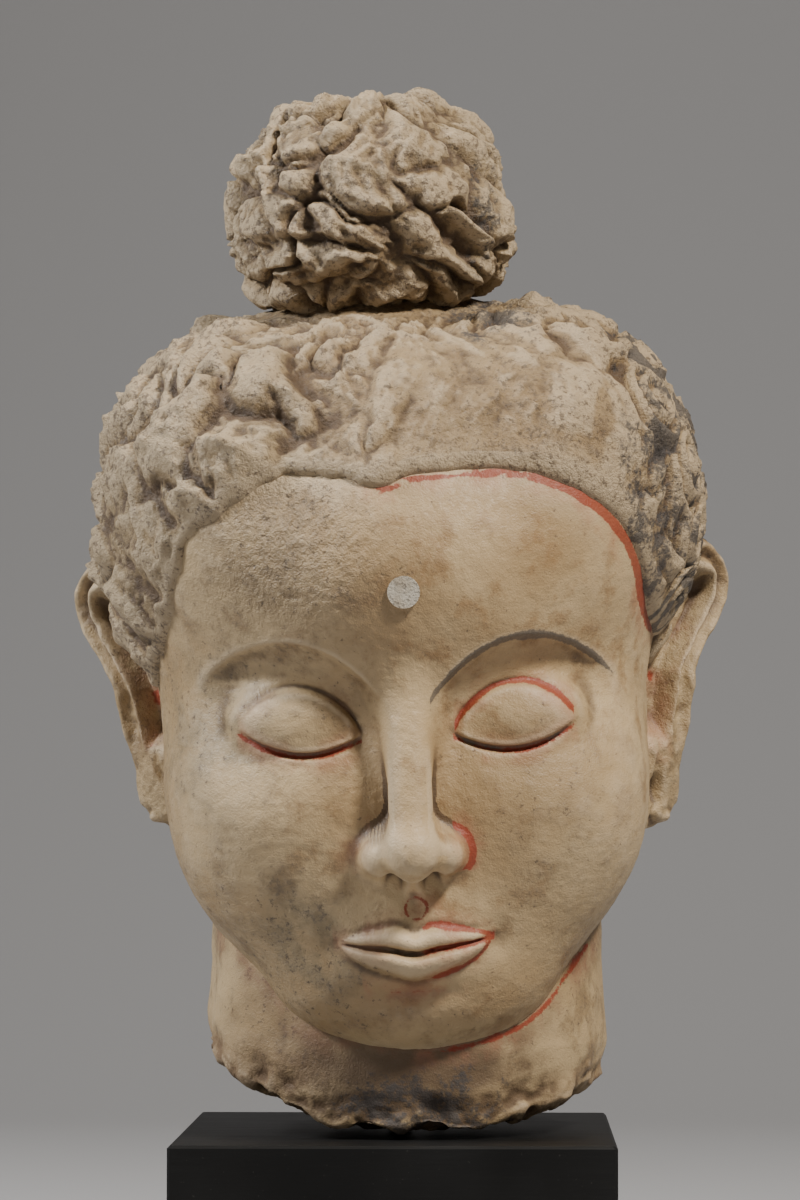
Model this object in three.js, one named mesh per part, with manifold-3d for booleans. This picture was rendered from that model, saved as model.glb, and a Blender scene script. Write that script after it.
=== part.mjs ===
// Head of a Buddha in painted stucco, broken at the neck, held by a rod on a black block.
// Millimetres, +Z up, the face looks along -Y, origin under the middle of the block.
import * as THREE from 'three';
import Module from 'manifold-3d';

const wasm = await Module();
wasm.setup();

// Driving sizes
const headHeight = 314;        // chin to crown, under the hair; the whole free form is in shares of it
const headPitch = 10;          // degrees that the face is bowed forward
const headRoll = -2;           // degrees that the crown leans to the viewer's left
const headYaw = 2;             // degrees that the face is turned to the viewer's right
const neckGap = 2.5;           // clear height between the block and the lowest point of the broken neck

const urnaDiameter = 13.5;     // round plug in the forehead
const urnaLength = 6;
const urnaStandOut = 0.9;
const urnaClearance = 0.3;

const rodDiameter = 10;
const rodIntoNeck = 105;
const rodIntoBlock = 55;
const rodClearance = 0.3;
const rodX = 1;                // the rod stands under the middle of the neck
const rodY = 6;

const blockWidth = 187;
const blockDepth = 189;
const blockHeight = 90;
const blockChamfer = 1.2;

// The form is written for a head of this height, then scaled to headHeight
const formHeight = 314;
const scale = headHeight / formHeight;
const turn = new THREE.Matrix4().makeRotationZ(THREE.MathUtils.degToRad(headYaw))
  .multiply(new THREE.Matrix4().makeRotationY(THREE.MathUtils.degToRad(headRoll)))
  .multiply(new THREE.Matrix4().makeRotationX(THREE.MathUtils.degToRad(headPitch)));

const V = (x, y, z) => new THREE.Vector3(x, y, z);
const clamp = THREE.MathUtils.clamp;
const ramp = (x, lo, hi) => THREE.MathUtils.smoothstep(x, lo, hi);
const bell = (x, centre, width) => Math.exp(-(((x - centre) / width) ** 2));

// Implicit shapes: a negative value is inside

function softJoin(a, b, k) {
  const h = clamp(0.5 + 0.5 * (b - a) / k, 0, 1);
  return b * (1 - h) + a * h - k * h * (1 - h);
}

function softCut(a, b, k) {
  return -softJoin(-a, b, k);
}

function ellipsoid(x, y, z, [cx, cy, cz], [rx, ry, rz]) {
  const qx = (x - cx) / rx, qy = (y - cy) / ry, qz = (z - cz) / rz;
  const k0 = Math.hypot(qx, qy, qz);
  const k1 = Math.hypot(qx / rx, qy / ry, qz / rz) + 1e-9;
  return k0 * (k0 - 1) / k1;
}

function cone(x, y, z, [ax, ay, az], [bx, by, bz], ra, rb) {
  const ux = bx - ax, uy = by - ay, uz = bz - az;
  const t = clamp(((x - ax) * ux + (y - ay) * uy + (z - az) * uz) / (ux * ux + uy * uy + uz * uz), 0, 1);
  return Math.hypot(x - ax - t * ux, y - ay - t * uy, z - az - t * uz) - (ra + (rb - ra) * t);
}

// Face and skull in the head's frame: eyes at z 0, crown at 156, chin at -154

const eyeX = 45, eyeHalf = 26;

function skull(px, y, z) {
  const x = Math.abs(px);
  let d = ellipsoid(x, y, z, [0, 8, 56], [118, 124, 100]);
  d = softJoin(d, ellipsoid(x, y, z, [56, 4, 76], [64, 104, 76]), 14);
  d = softJoin(d, ellipsoid(x, y, z, [0, -12, -36], [106, 100, 118]), 30);
  d = softJoin(d, ellipsoid(x, y, z, [0, -30, 54], [92, 88, 66]), 20);
  d = softJoin(d, ellipsoid(x, y, z, [0, -72, -117], [56, 41, 37]), 34);
  d = softJoin(d, ellipsoid(x, y, z, [0, -72, -90], [52, 42, 38]), 24);
  d = softJoin(d, ellipsoid(x, y, z, [50, -62, -48], [48, 48, 54]), 26);
  return softCut(d, ellipsoid(x, y, z, [46, -146, -2], [44, 33, 30]), 14);
}

function noseAndEyes(px, y, z) {
  const x = Math.abs(px);
  let nose = cone(x, y, z, [0, -103, 18], [0, -130, -50], 10, 9);
  nose = softJoin(nose, ellipsoid(x, y, z, [0, -131, -55], [11.5, 13, 10.5]), 8);
  nose = softJoin(nose, ellipsoid(x, y, z, [13.5, -118, -58], [8, 13, 8.5]), 6);
  const d = softJoin(skull(px, y, z), nose, 8);
  return softJoin(d, ellipsoid(x, y, z, [eyeX, -89, -5], [30, 22, 19.5]), 5);
}

// Lids, lips and creases, as a height towards the front
function faceRelief(px, z) {
  const x = Math.abs(px);
  const s = (x - eyeX) / eyeHalf;
  const arch = clamp(1 - s * s, 0, 1);
  const slit = -8 - 8 * arch + 1.5 * s;
  const crease = -7.5 + 18 * arch ** 0.75 + 1.5 * s;
  const below = 31 - 27 * Math.abs((x - 50) / 42) ** 2.1 - z;
  const wide = ramp(x, 6, 22) * (1 - ramp(x, 74, 96));
  let d = -6.5 * (1 - Math.exp(-clamp(below, 0, 200) / 5)) * (1 - ramp(-z, -2, 46)) * wide;
  d += 2.4 * ramp(z - slit, 0, 1) * (1 - ramp(z - crease, -3, 0.5)) * Math.min(1, arch * 3);
  const m = clamp(x / 32, 0, 1);
  const line = -97 - 2 * bell(x, 0, 8) + 2.2 * m ** 3;
  const upper = line + 9.5 * (1 - m * m) ** 0.7 + 0.5;
  const lower = line - 12.5 * (1 - m * m) ** 0.7 - 0.5;
  const body = Math.sqrt(clamp(1 - m * m, 0, 1));
  const up = clamp((z - line) / (upper - line), 0, 1), down = clamp((line - z) / (line - lower), 0, 1);
  d += z > line ? 5 * body * (1 - up * up) : 5.6 * body * Math.sin(Math.PI * down ** 0.62) ** 0.8;
  d -= 1.5 * bell(z, line, 3.2) * (1 - ramp(x, 31, 36));
  d -= 2.2 * bell(x, 35.5, 6) * bell(z, -97, 8);
  return d - 3 * bell(x, 0, 20) * bell(z, -119, 6);
}

// Hair: a cap drawn up to the bun in wavy locks. The region's value grows in millimetres from
// the hairline inwards: a rounded square over the forehead, a sideburn, and a low edge to the nape
function hairRegion(x, y, z) {
  const half = 102 + 3 * Math.sign(x) + 8 * (1 - ramp(z, 0, 42));
  const top = 97 - 5 * bell(x, -10, 11) + 3 * bell(x, -42, 22) + 2 * bell(x, 46, 30);
  const n = 3.3;
  const front = ((Math.abs(x) / half) ** n + (Math.max(z - 2, 0) / top) ** n) ** (1 / n) - 1;
  const low = z - 3 + 78 * ramp(y, 2, 62);
  return Math.min(y < 0 ? front * 98 : 60, low);
}

// Number from 0 to 1 for whole numbers
function dice(i, j, k) {
  const t = Math.sin(i * 127.1 + j * 311.7 + k * 74.7) * 43758.5453;
  return t - Math.floor(t);
}

// Comma-shaped locks, 0 to about 1: one scattered point to each unit square of (u, v), u closing on itself
// after around of them. Each cell is a dome that drops into a crease at its border and rises to one end
function locks(u, v, around, seed) {
  let first = 9, second = 9, along = 0, number = 0;
  for (let n = 0; n < 9; n++) {
    const i = Math.floor(u) + Math.floor(n / 3) - 1, j = Math.floor(v) + (n % 3) - 1;
    const w = ((i % around) + around) % around;
    const x = u - i - 0.15 - 0.7 * dice(w, j, seed);
    const y = v - j - 0.15 - 0.7 * dice(w, j, seed + 1);
    const gap = Math.hypot(x, y);
    if (gap < first) {
      [first, second, along, number] = [gap, first, y, dice(w, j, seed + 2)];
    } else {
      second = Math.min(second, gap);
    }
  }
  return (1 - Math.exp((first - second) / 0.26)) * (0.42 + 0.55 * along * Math.sign(number - 0.3) + 0.6 * number);
}

const curlCentres = [[112, -30, 84], [113, -22, 56], [103, -44, 112], [116, 2, 100], [118, 4, 70], [117, 12, 38],
  [106, -12, 128], [112, -24, 30]];

// Height of the hair over its even thickness: locks from the bun to the hairline in S-waves,
// worn almost plain over the middle and right of the brow, round curls on the right temple, even under the bun
function hairRelief(x, y, z) {
  const turned = Math.atan2(x, 14 - y);
  const along = Math.atan2(Math.hypot(x, y - 14), z - 30) * 120 + 5 * Math.sin(7 * turned + 0.4);
  const a = turned + 0.05 * Math.sin(along / 11 + 2 * Math.sin(3 * turned));
  const wave = 0.3 * Math.sin(along / 8.5 + 1.5 * Math.sin(2 * a)) + 0.3 * Math.sin(5 * a + along / 19);
  const row = along / 27 + 0.22 * Math.sin(a * 9) + 0.2 * Math.sin(a * 4 + 1);
  const worn = ramp(a, -0.26, 0.06) * (1 - ramp(a, 0.74, 0.92)) * (1 - ramp(z, 138, 150));
  const lock = 11 * locks(a * 30 / (2 * Math.PI) + wave, row, 30, 11) * (1 - 0.3 * ramp(y, 10, 60));
  const near = Math.min(...curlCentres.map(([cx, cy, cz]) => Math.hypot(x - cx, y - cy, z - cz)));
  const curled = (1 - ramp(near, 17, 23)) * ramp(x, 84, 96);
  const curl = 1.5 + 3.4 * (1 - (near / 20) ** 2);
  const total = (lock * (1 - 0.86 * worn) - 5 * (1 - worn)) * (1 - curled) + curl * curled;
  return 2 + (total - 2) * ramp(Math.hypot(x + 7, y - 20), 26, 44);
}

const core = [0, -10, -5];
const castNear = 30, castFar = 260;      // a ray from the core meets the head's surface between these

function castFrom(centre, direction, field, near, far) {
  let lo = near, hi = far;
  for (let n = 0; n < 26; n++) {
    const t = 0.5 * (lo + hi);
    const inside = field(...centre.map((c, k) => c + direction[k] * t)) < 0;
    if (inside) lo = t; else hi = t;
  }
  return centre.map((c, k) => c + direction[k] * 0.5 * (lo + hi));
}

function headPoint(theta, phi) {
  const direction = [Math.sin(phi) * Math.sin(theta), -Math.sin(phi) * Math.cos(theta), Math.cos(phi)];
  let [x, y, z] = castFrom(core, direction, skull, castNear, castFar);
  if (y < -40 && Math.abs(x) < 95 && z > -95 && z < 50) {
    [x, y, z] = castFrom([x, y, z], [0, -1, 0], noseAndEyes, 0, 45);
  }
  return V(x, y - faceRelief(x, z) * ramp(-y, 40, 80), z);
}

// Closed grid: a pole, rings from first to last, a pole; a ring runs anticlockwise seen from the first pole

function closedGrid(first, rings, last) {
  const cols = rings[0].length;
  const index = [];
  const at = (i, j) => 1 + i * cols + (j % cols);
  const end = 1 + rings.length * cols;
  for (let j = 0; j < cols; j++) {
    index.push(0, at(0, j), at(0, j + 1));
    index.push(end, at(rings.length - 1, j + 1), at(rings.length - 1, j));
    for (let i = 0; i + 1 < rings.length; i++) {
      index.push(at(i, j), at(i + 1, j), at(i + 1, j + 1), at(i, j), at(i + 1, j + 1), at(i, j + 1));
    }
  }
  const geometry = new THREE.BufferGeometry().setFromPoints([first, ...rings.flat(), last]);
  return geometry.setIndex(index);
}

const headRows = 37, headCols = 56;

function headGeometry() {
  const weight = (phi) => 0.5 + 1.4 * ramp(phi, 0.8, 1.3) * (1 - ramp(phi, 2.4, 2.6));
  const marks = [0];
  for (let n = 0; n < 1000; n++) marks.push(marks[n] + weight((n + 0.5) * Math.PI / 1000));
  const rings = [];
  let n = 0;
  for (let i = 1; i < headRows; i++) {
    while (marks[n] < marks[1000] * i / headRows) n++;
    const phi = n * Math.PI / 1000;
    rings.push(Array.from({ length: headCols }, (_, j) => {
      const u = 2 * Math.PI * j / headCols;
      return headPoint(u - 0.7 * Math.sin(u), phi);
    }));
  }
  return closedGrid(headPoint(0, 0), rings, headPoint(0, Math.PI));
}

// The cap's rings run about an axis that leans back, where the hairline is almost a circle
const hairThick = 10;
const capLean = 0.78;

function capDirection(beta, sigma) {
  const x = Math.sin(sigma) * Math.sin(beta), f = Math.sin(sigma) * Math.cos(beta), u = Math.cos(sigma);
  return [x, -f * Math.cos(capLean) + u * Math.sin(capLean), f * Math.sin(capLean) + u * Math.cos(capLean)];
}

function capEdge(beta) {
  let lo = 0.9, hi = 2.1;
  for (let sigma = lo; sigma < hi; sigma += 0.02) {
    if (hairRegion(...castFrom(core, capDirection(beta, sigma), skull, castNear, castFar)) < 0) {
      hi = sigma;
      lo = sigma - 0.02;
    }
  }
  return 0.5 * (lo + hi);
}

function capPoint(beta, sigma, edge) {
  const d = capDirection(beta, sigma);
  const p = castFrom(core, d, skull, castNear, castFar);
  const inside = (edge - sigma) * 115;
  const step = Math.sqrt(1 - (1 - clamp(inside / 6, 0, 1)) ** 2);
  const soft = 8 + 8 * (1 - ramp(-p[0], 4, 30));
  const lift = hairThick * (0.5 * step + 0.5 * ramp(inside, 2, 36)) + hairRelief(...p) * ramp(inside, 0, soft);
  return V(...p.map((c, k) => c + d[k] * lift));
}

function hairGeometry(rows, cols) {
  const betas = Array.from({ length: cols }, (_, j) => 2 * Math.PI * j / cols)
    .map((u) => u - 0.35 * Math.sin(u));
  const edges = betas.map(capEdge);
  const rings = [];
  for (let i = 1; i <= rows; i++) {
    const s = i / rows;
    rings.push(betas.map((beta, j) => capPoint(beta, edges[j] * (1 - (1 - s) ** 1.15), edges[j])));
  }
  const inner = betas.map((beta, j) => {
    const d = capDirection(beta, edges[j]);
    const p = castFrom(core, d, skull, castNear, castFar);
    return V(...p.map((c, k) => c - d[k] * 9));
  });
  return closedGrid(capPoint(0, 0, 1.5), [...rings, inner], V(...core));
}

// Bun: a flattened, squarish ball of twisted lumps with a flat underside

function bunPoint(theta, phi) {
  const sx = Math.sin(phi) * Math.sin(theta), sy = -Math.sin(phi) * Math.cos(theta), sz = Math.cos(phi);
  const n = 2.5;
  const square = (Math.sin(phi) ** n + Math.abs(sz) ** n) ** (-1 / n);
  const u = theta * 13 / (2 * Math.PI) + 1.1 * sz + 0.35 * Math.sin(2 * theta + 5 * sz);
  const v = phi * 2 + 0.28 * Math.sin(3 * theta + 1) + 0.2 * Math.sin(5 * theta + 3 * phi);
  const lift = softJoin(11.5 * locks(u, v, 13, 27) * ramp(Math.sin(phi), 0, 0.55) - 1.5, 9, 2);
  const flat = sz < 0 ? 0.68 : 1;
  const r = 0.9 * square;
  return V(-7 + (63 * r + lift) * sx, 20 + (57 * r + lift) * sy, 197 + (61 * flat * r + lift) * sz);
}

function bunGeometry(rows, cols) {
  const rings = [];
  for (let i = 1; i < rows; i++) {
    rings.push(Array.from({ length: cols }, (_, j) => bunPoint(2 * Math.PI * j / cols, Math.PI * i / rows)));
  }
  return closedGrid(bunPoint(0, 0), rings, bunPoint(0, Math.PI));
}

// Ear: a leaf-shaped plate with a rim, swung out from the side of the head.
// u runs across the breadth and v up the height, both -1 to 1 inside a unit disc

function earPoint(side, u, v, front) {
  const r = Math.min(1, Math.hypot(u, v));
  const half = 18 + 30 * ramp(v, -0.05, 0.7) + 18 * ramp(-v, 0.55, 1);
  const b = 13 + 3 * v + half * u;
  const edge = Math.sqrt(Math.max(0, 1 - r ** 6));
  const inset = Math.min(half * (Math.sqrt(1 - v * v) - u), 62 * (Math.sqrt(1 - u * u) - v));
  const hollow = 10.5 * ramp(inset, 11, 19) * ramp(v, -0.46, -0.22) * (1 - ramp(v, 0.5, 0.76));
  const t = front ? 6 * edge - hollow : -6 * edge - 0.55 * hollow;
  const swing = THREE.MathUtils.degToRad(46);
  const x = 109.5 + 1.5 * side - 4 * (1 - v) ** 1.5 + b * Math.sin(swing) + t * Math.cos(swing);
  const y = 2 + 3 * v + b * Math.cos(swing) - t * Math.sin(swing);
  return V(side * x, y, -3 + (v < 0 ? 66 + 4 * side : 62) * v);
}

function earGeometry(side, rings, cols) {
  const ring = (r, front) => Array.from({ length: cols }, (_, j) => {
    const a = side * 2 * Math.PI * j / cols;
    return earPoint(side, r * Math.cos(a), r * Math.sin(a), front);
  });
  const all = [];
  for (let i = 1; i <= rings; i++) all.push(ring(Math.sin(0.5 * Math.PI * i / rings), true));
  for (let i = rings - 1; i >= 1; i--) all.push(ring(Math.sin(0.5 * Math.PI * i / rings), false));
  return closedGrid(earPoint(side, 0, 0, true), all, earPoint(side, 0, 0, false));
}

// Neck: an oval column that widens downwards and ends in a ragged break.
// Upright, about its own middle; heights run from the lowest point of the break

function breakHeight(x, y) {
  const left = 30 * (Math.max(0, -17 - x) / 69) ** 1.5;
  const right = 13 * (Math.max(0, x + 17) / 99) ** 4;
  const back = 22 * ramp(y, 0, 80);
  const rough = 1.6 * Math.sin(x / 9 + 1) * Math.sin(y / 11) + 1.1 * Math.sin(x / 4.7 - y / 6);
  return Math.max(0, left + right + back + rough + 1.6);
}

const neckX = 3, neckY = 8;

function neckGeometry(levels, floors, cols) {
  const edge = (a, h) => {
    const ragged = 1 + 0.006 * Math.sin(5 * a + 1) + 0.008 * Math.sin(9 * a);
    const chip = h < 36 ? 6 * (1 - h / 36) * (0.4 + 0.6 * ramp(Math.cos(a), 0.2, 0.9)) : 0;
    const rx = (84 + 6 * (1 - h / 100)) * ragged - chip;
    const ry = (74 + 4 * (1 - h / 100)) * ragged - chip;
    return [rx * Math.cos(a), ry * Math.sin(a)];
  };
  const angles = Array.from({ length: cols }, (_, j) => 2 * Math.PI * j / cols);
  const rings = [];
  for (let i = 0; i <= levels; i++) {
    rings.push(angles.map((a) => {
      const [ex, ey] = edge(a, 0);
      const low = breakHeight(ex + neckX, ey + neckY) + 2.5;
      const h = 150 + (low - 150) * i / levels;
      const [x, y] = edge(a, h);
      return V(x + neckX, y + neckY, h);
    }));
  }
  for (let i = 1; i < floors; i++) {
    rings.push(angles.map((a) => {
      const [ex, ey] = edge(a, 0);
      const r = 1 - i / floors - 0.02;
      return V(ex * r + neckX, ey * r + neckY, breakHeight(ex * r + neckX, ey * r + neckY));
    }));
  }
  return closedGrid(V(neckX, neckY, 150), rings, V(neckX, neckY, breakHeight(neckX, neckY)));
}

// Joining and cutting

function toSolid(geometry) {
  const mesh = new wasm.Mesh({
    numProp: 3,
    vertProperties: new Float32Array(geometry.attributes.position.array),
    triVerts: new Uint32Array(geometry.index.array),
  });
  return new wasm.Manifold(mesh);
}

function toGeometry(solid) {
  const mesh = solid.getMesh();
  const points = Array.from({ length: mesh.numVert }, (_, n) => V(...mesh.vertProperties.slice(3 * n, 3 * n + 3)));
  const faces = Array.from({ length: mesh.numTri }, (_, n) => [...mesh.triVerts.slice(3 * n, 3 * n + 3)]);
  const tidy = flipSlivers(points, outerShell(points, weld(points, faces, 0.25)), 0.02);
  return new THREE.BufferGeometry().setFromPoints(points).setIndex(tidy.flat());
}

// Groups of points: find gives a point's group, merge puts the second point's group into the first's
function groups(count) {
  const root = Array.from({ length: count }, (_, n) => n);
  const find = (n) => {
    let at = n;
    while (root[at] !== at) at = root[at];
    return at;
  };
  const merge = (a, b) => { root[find(b)] = find(a); };
  return [find, merge];
}

// A join leaves short edges and needle faces along its seam: short edges shrink to a point
function weld(points, faces, near) {
  const [find, merge] = groups(points.length);
  for (const face of faces) {
    for (let k = 0; k < 3; k++) {
      const a = find(face[k]), b = find(face[(k + 1) % 3]);
      if (a !== b && points[a].distanceTo(points[b]) < near) merge(a, b);
    }
  }
  const kept = new Map();
  for (const face of faces) {
    const f = face.map(find);
    if (new Set(f).size < 3) continue;
    const key = [...f].sort((a, b) => a - b).join();
    if (kept.has(key)) kept.delete(key); else kept.set(key, f);
  }
  return [...kept.values()];
}

// A small void closed off where the bun rests on the hair is filled: only the largest shell is kept
function outerShell(points, faces) {
  const [find, merge] = groups(points.length);
  for (const [a, b, c] of faces) {
    merge(a, b);
    merge(a, c);
  }
  const size = new Map();
  for (const [a] of faces) size.set(find(a), (size.get(find(a)) ?? 0) + 1);
  const most = Math.max(...size.values());
  return faces.filter(([a]) => size.get(find(a)) === most);
}

// A flat needle, with a corner almost on its longest edge, swaps that edge with its neighbour
function flipSlivers(points, faces, thin) {
  const owner = new Map();
  const claim = (f, n) => f.forEach((a, k) => owner.set(a + '-' + f[(k + 1) % 3], n));
  faces.forEach(claim);
  for (let n = 0; n < faces.length; n++) {
    const f = faces[n];
    const side = (k) => points[f[k]].distanceTo(points[f[(k + 1) % 3]]);
    const k = [0, 1, 2].reduce((best, m) => (side(m) > side(best) ? m : best), 0);
    const a = f[k], b = f[(k + 1) % 3], c = f[(k + 2) % 3];
    const area = points[b].clone().sub(points[a]).cross(points[c].clone().sub(points[a])).length();
    const m = owner.get(b + '-' + a);
    if (area / side(k) > thin || m === undefined) continue;
    const d = faces[m].find((v) => v !== a && v !== b);
    if (owner.has(c + '-' + d) || owner.has(d + '-' + c)) continue;
    owner.delete(a + '-' + b);
    owner.delete(b + '-' + a);
    faces[n] = [c, a, d];
    faces[m] = [d, b, c];
    claim(faces[n], n);
    claim(faces[m], m);
  }
  return faces;
}

// A closed prism about a point, its axis turned from +Z by the given matrix
function roundPlug(radius, length, sides, rotation = new THREE.Matrix4()) {
  const profile = [new THREE.Vector2(0, 0), new THREE.Vector2(radius, 0), new THREE.Vector2(radius, length),
    new THREE.Vector2(0, length)];
  const rings = profile.slice(1, 3).map((p) => Array.from({ length: sides }, (_, j) => {
    const a = -2 * Math.PI * j / sides;
    return V(p.x * Math.cos(a), p.x * Math.sin(a), p.y);
  }));
  return closedGrid(V(0, 0, 0), rings, V(0, 0, length)).applyMatrix4(rotation);
}

// The head's frame stands above the lowest point of the break by a share of the head's height
const headX = 2, headY = 5;
const headLift = 195.5 * scale;
const place = (geometry) => geometry
  .applyMatrix4(new THREE.Matrix4().makeScale(scale, scale, scale))
  .applyMatrix4(turn)
  .applyMatrix4(new THREE.Matrix4().makeTranslation(headX * scale, headY * scale, blockHeight + neckGap + headLift));
const neck = neckGeometry(5, 5, 40)
  .applyMatrix4(new THREE.Matrix4().makeScale(scale, scale, scale))
  .applyMatrix4(new THREE.Matrix4().makeTranslation(0, 0, blockHeight + neckGap));

let head = toSolid(place(headGeometry()))
  .add(toSolid(place(hairGeometry(18, 78))))
  .add(toSolid(place(bunGeometry(18, 34))))
  .add(toSolid(place(earGeometry(1, 6, 22))))
  .add(toSolid(place(earGeometry(-1, 6, 22))))
  .add(toSolid(neck));

// Rod: up through the block into a blind socket in the neck
const breakAtRod = blockHeight + neckGap + breakHeight(rodX / scale, rodY / scale) * scale;
const rodBottom = blockHeight - rodIntoBlock;
const rodTop = breakAtRod + rodIntoNeck;
const socketRadius = rodDiameter / 2 + rodClearance;
const socket = (from, to) => roundPlug(socketRadius, to - from, 24)
  .applyMatrix4(new THREE.Matrix4().makeTranslation(rodX, rodY, from));
head = head.subtract(toSolid(socket(blockHeight, rodTop + rodClearance)));

// Urna: a plug square to the forehead
const urnaZ = 52;
const urnaSeat = castFrom([0, -60, urnaZ], [0, -1, 0], noseAndEyes, 0, 90);
const urnaTilt = new THREE.Matrix4().makeRotationX(THREE.MathUtils.degToRad(90 - 6));
const urnaAt = (back, radius, length, sides) => roundPlug(radius, length, sides)
  .applyMatrix4(new THREE.Matrix4().makeTranslation(0, 0, -back))
  .applyMatrix4(urnaTilt)
  .applyMatrix4(turn)
  .applyMatrix4(new THREE.Matrix4().makeTranslation(...urnaCentre()));
function urnaCentre() {
  const p = V(urnaSeat[0], urnaSeat[1], urnaSeat[2]).multiplyScalar(scale).applyMatrix4(turn);
  return [p.x + headX * scale, p.y + headY * scale, p.z + blockHeight + neckGap + headLift];
}
const urnaBack = urnaLength - urnaStandOut;
head = head.subtract(toSolid(urnaAt(urnaBack + urnaClearance, urnaDiameter / 2 + urnaClearance, 30, 24)));

// Block with chamfered edges and a blind socket
function blockGeometry() {
  const c = blockChamfer, w = blockWidth / 2, d = blockDepth / 2;
  const ring = (inset, z) => [[1, 1], [-1, 1], [-1, -1], [1, -1]].flatMap(([sx, sy]) => {
    const a = V(sx * (w - inset), sy * (d - inset - c), z), b = V(sx * (w - inset - c), sy * (d - inset), z);
    return sx * sy > 0 ? [a, b] : [b, a];
  }).reverse();
  return closedGrid(V(0, 0, 0), [ring(c, 0), ring(0, c), ring(0, blockHeight - c), ring(c, blockHeight)],
    V(0, 0, blockHeight));
}
const block = toSolid(blockGeometry()).subtract(toSolid(socket(rodBottom - rodClearance, blockHeight + 1)));

const stucco = new THREE.MeshStandardMaterial({ color: 0xb39b78, roughness: 0.85, metalness: 0 });
const gypsum = new THREE.MeshStandardMaterial({ color: 0xada291, roughness: 0.9, metalness: 0 });
const steel = new THREE.MeshStandardMaterial({ color: 0x2b2b2c, roughness: 0.45, metalness: 1 });
const paintedWood = new THREE.MeshStandardMaterial({ color: 0x161616, roughness: 0.4, metalness: 0 });

function piece(name, geometry, material) {
  const mesh = new THREE.Mesh(geometry, material);
  mesh.name = name;
  return mesh;
}

const rod = piece('mount_rod', roundPlug(rodDiameter / 2, rodTop - rodBottom, 24), steel);
rod.position.set(rodX, rodY, rodBottom);

const object = new THREE.Group();
object.add(
  piece('buddha_head', toGeometry(head), stucco),
  piece('urna_dot', urnaAt(urnaBack, urnaDiameter / 2, urnaLength, 24), gypsum),
  rod,
  piece('mount_block', toGeometry(block), paintedWood),
);

export default object;
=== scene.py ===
"""Painted stucco head of a Buddha on a rod and a black block.

The head's form is worked out in millimetres in the head's own frame: x to the viewer's right, y
backwards, z up, eyes at z 0, crown at 156, chin at -154. place() turns it into the object's frame.
"""
import math

import bpy
import numpy as np
from mathutils import Matrix, Vector


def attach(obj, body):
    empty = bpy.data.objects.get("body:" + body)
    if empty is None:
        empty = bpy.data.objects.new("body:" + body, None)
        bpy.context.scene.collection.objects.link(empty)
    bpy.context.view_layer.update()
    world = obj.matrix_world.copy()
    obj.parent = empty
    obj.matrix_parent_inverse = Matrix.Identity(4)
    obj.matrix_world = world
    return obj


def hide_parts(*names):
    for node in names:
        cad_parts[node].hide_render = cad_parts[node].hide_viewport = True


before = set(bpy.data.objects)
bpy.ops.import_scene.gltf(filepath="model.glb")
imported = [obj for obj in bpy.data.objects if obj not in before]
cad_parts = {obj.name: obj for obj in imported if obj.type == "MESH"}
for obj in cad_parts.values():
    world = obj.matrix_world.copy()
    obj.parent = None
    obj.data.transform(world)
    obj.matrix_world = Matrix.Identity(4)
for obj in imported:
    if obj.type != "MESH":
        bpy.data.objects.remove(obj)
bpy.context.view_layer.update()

PITCH, ROLL, YAW = 10.0, -2.0, 2.0          # degrees: bowed forward, leaning, turned
HEAD_AT = (2.0, 5.0, 288.0)                 # the head frame's origin in the object, mm
BREAK_AT = 92.5                             # lowest point of the broken neck, mm
CORE = np.array([0.0, -10.0, -5.0])         # the point that the head's surface is cast from
EYE_X, EYE_HALF = 45.0, 26.0
MOUTH_HALF = 32.0
HAIR_THICK = 10.0
HAIR_STEP, HAIR_SWELL = 6, 36               # how far in the hair's rounded edge ends, and where it is full
CAP_LEAN = 0.78                             # the hair cap's axis leans back by this, radians
HEAD_RADIUS = 115                           # turns an angle at the core into millimetres on the head
BUN_AT = np.array([-7.0, 20.0, 197.0])
BUN_HALF = np.array([63, 57, 61.0])         # half sizes of the bun above its middle
BUN_BASE = 0.68                             # the bun below its middle is this much as high
EAR_SWING = math.radians(46)                # how far the ears stand off the head
NECK_X, NECK_Y = 3.0, 8.0
NECK_WIDE, NECK_DEEP = 84, 74               # half sizes of the neck 100 mm over the break
RAY_FROM, RAY_TO = 30.0, 260.0              # the skull's surface lies between these from the core
FACE_GRID, HAIR_GRID, BUN_GRID = (300, 320), (240, 400), (220, 300)
EAR_GRID, NECK_GRID = (90, 180), (110, 90, 400)
CAMERA_AT, LENS, SENSOR = (0.0445, -1.755, 0.2277), 119.7, 36.0
CAMERA_LEFT, CAMERA_UP = math.atan(99 / 3989), math.atan(213 / 3989)
# Numbers on each point for the finish; the dust, hollow and pigment marks also carry painted shade.
MARKS = ("red", "grey", "dust_and_shade", "sandy", "hair", "hollow", "pigment_and_shadow", "torn")


# ---- small tools for arrays ----

def ramp(x, low, high):
    """Smooth step: 0 below low, 1 above high, 3t^2 - 2t^3 between."""
    t = np.clip((x - low) / (high - low), 0, 1)
    return t * t * (3 - 2 * t)


def bell(x, centre, width):
    """exp(-((x - centre) / width)^2)."""
    return np.exp(-(((x - centre) / width) ** 2))


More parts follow.
